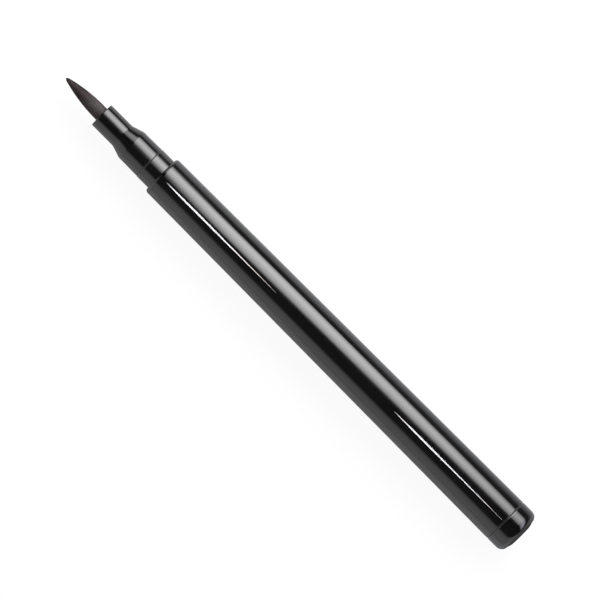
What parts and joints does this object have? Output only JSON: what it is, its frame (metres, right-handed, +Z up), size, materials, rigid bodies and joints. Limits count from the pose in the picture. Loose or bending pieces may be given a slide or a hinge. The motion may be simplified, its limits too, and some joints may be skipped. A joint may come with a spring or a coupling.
{
  "type": "eyeliner pen",
  "caption": "Slim tapered eyeliner pen in gloss black with a pointed brush tip, stepped nozzle and neck, comb collector, inner tank with a loose mixing ball, and a rounded tail plug.",
  "frame": {"origin": "under the middle of the pen's length, on the surface that it lies on", "axes": "+X along the pen from the brush to the tail, +Z up, +Y across the pen"},
  "size_m": [0.13, 0.0102, 0.0102],
  "materials": {
    "gloss_black_plastic": "gloss",
    "dark_filament": "satin, wet with liquid",
    "natural_polypropylene": "satin",
    "white_fibre": "matt",
    "white_abs": "semi-gloss",
    "clear_polypropylene": "clear, as moulded",
    "black_rubber": "matt",
    "stainless_steel": "polished"
  },
  "bodies": {
    "pen": {"brush_bristles": "dark_filament", "brush_ferrule": "natural_polypropylene", "brush_retainer": "natural_polypropylene", "feed_wick": "white_fibre", "wick_sleeve": "natural_polypropylene", "front_section": "gloss_black_plastic", "barrel": "gloss_black_plastic", "section_gasket": "black_rubber", "collector": "white_abs", "collector_seal": "black_rubber", "ink_tank": "clear_polypropylene", "tank_plug": "natural_polypropylene", "end_plug": "gloss_black_plastic"},
    "ball": {"mixing_ball": "stainless_steel"}
  },
  "joints": [
    {"name": "ball_travel", "type": "slide", "parent": "pen", "child": "ball", "axis": [1, 0, 0.0056], "range_m": [0, 0.0379]}
  ]
}
